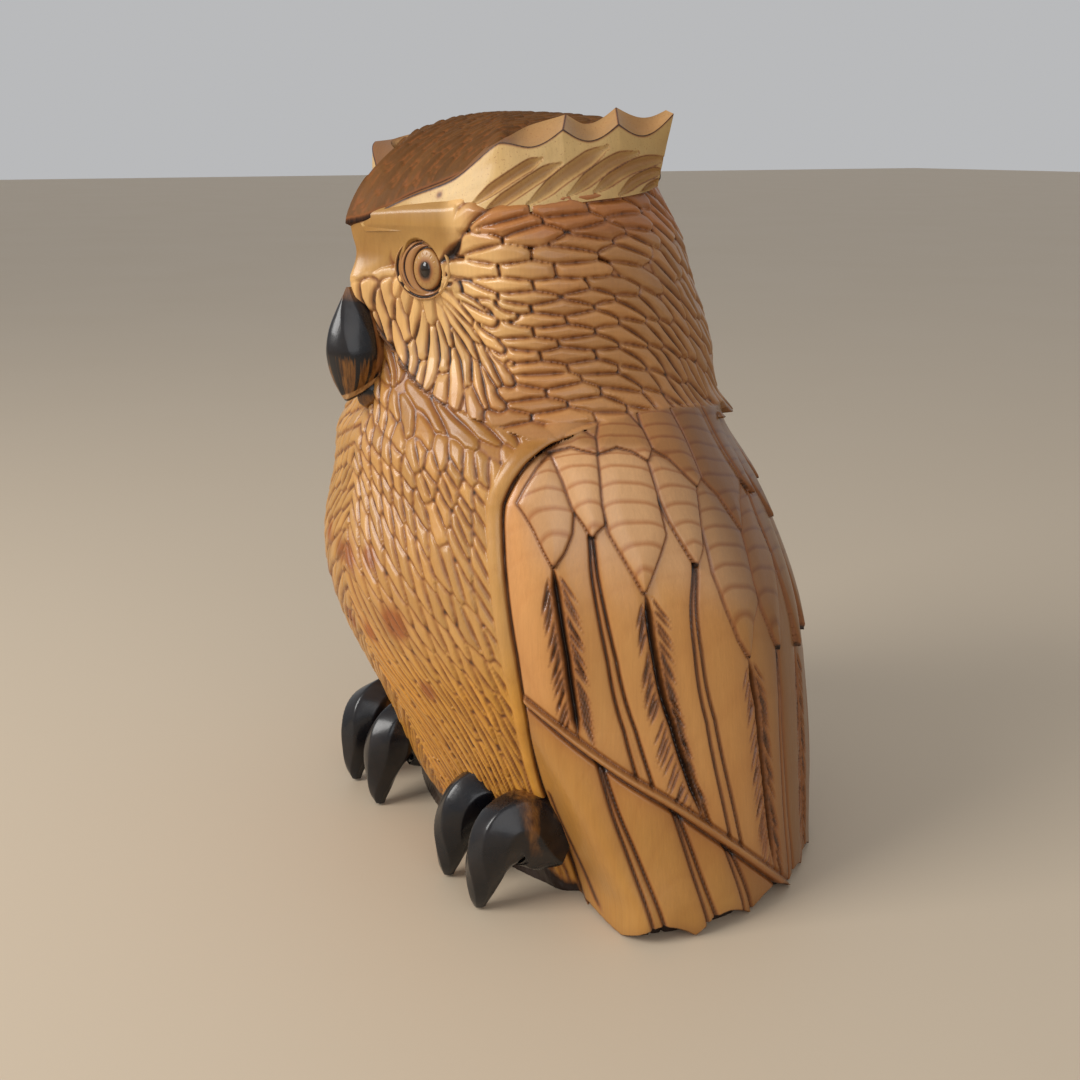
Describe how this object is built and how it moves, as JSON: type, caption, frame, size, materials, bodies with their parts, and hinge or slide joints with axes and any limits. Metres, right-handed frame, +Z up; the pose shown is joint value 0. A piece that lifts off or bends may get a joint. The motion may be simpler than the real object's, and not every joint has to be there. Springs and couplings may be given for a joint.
{
  "type": "owl figurine",
  "caption": "Seated horned owl carved from one round log, with folded wings, a brow crest with ear tufts, a hooked beak and standing talons, on a flat base.",
  "frame": {"origin": "on the resting surface, under the middle of the log", "axes": "+Z up, the owl looks along -Y, its left side is +X"},
  "size_m": [0.2706, 0.2301, 0.3305],
  "materials": {
    "carved_wood": "honey lacquer over tool-marked wood, grooves scorched dark",
    "crown_wood": "matte brown stain with fine gouge strokes",
    "crest_wood": "pale olive wood, thin satin lacquer",
    "eye_wood": "scribed rings, lacquered",
    "pupil_gloss": "glossy black dome",
    "scorched_wood": "scorched black, thick gloss lacquer"
  },
  "bodies": {
    "root": {"torso": "carved_wood", "head": "carved_wood", "mantle": "carved_wood", "wing_left": "carved_wood", "wing_right": "carved_wood", "flank_left": "carved_wood", "flank_right": "carved_wood", "tail": "carved_wood", "crown": "crown_wood", "brow_crest_left": "crest_wood", "brow_crest_right": "crest_wood", "eye_left": "eye_wood", "eye_right": "eye_wood", "pupil_left": "pupil_gloss", "pupil_right": "pupil_gloss", "beak_upper": "scorched_wood", "beak_lower": "scorched_wood", "talon_left_inner": "scorched_wood", "talon_left_outer": "scorched_wood", "talon_right_inner": "scorched_wood", "talon_right_outer": "scorched_wood"}
  },
  "joints": []
}
